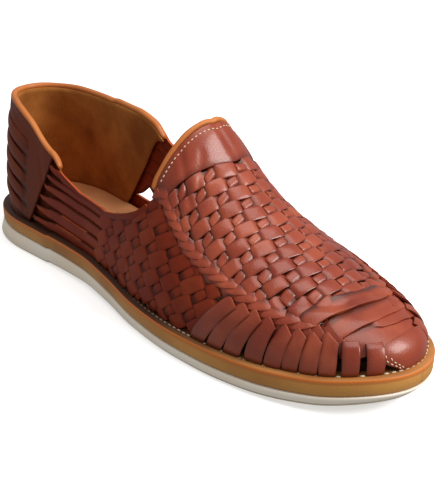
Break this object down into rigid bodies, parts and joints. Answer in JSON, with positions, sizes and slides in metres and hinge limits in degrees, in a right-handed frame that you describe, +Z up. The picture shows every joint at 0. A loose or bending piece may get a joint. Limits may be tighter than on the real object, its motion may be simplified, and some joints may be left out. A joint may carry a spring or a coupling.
{
  "type": "woven leather huarache sandal",
  "caption": "Closed-toe slip-on huarache with a woven leather vamp, open quarter straps, slit heel counter, rolled collar binding and a flat layered sole; right shoe.",
  "frame": {"origin": "on the floor, under the middle of the sole", "axes": "+X toward the toe, +Y toward the inner side of the foot, +Z up"},
  "size_m": [0.3018, 0.0962, 0.0996],
  "materials": {
    "outsole": "matt cream crepe rubber",
    "midsole": "natural tan leather with a burnished edge",
    "insole": "smooth tan leather",
    "upper": "polished red-brown leather",
    "heel_counter": "polished dark brown leather",
    "toe_cap": "polished red-brown leather",
    "binding": "rolled tan leather"
  },
  "bodies": {
    "root": {"outsole": "outsole", "midsole": "midsole", "insole": "insole", "upper": "upper", "heel_counter": "heel_counter", "toe_cap": "toe_cap", "collar_binding": "binding", "throat_binding": "binding"}
  },
  "joints": []
}
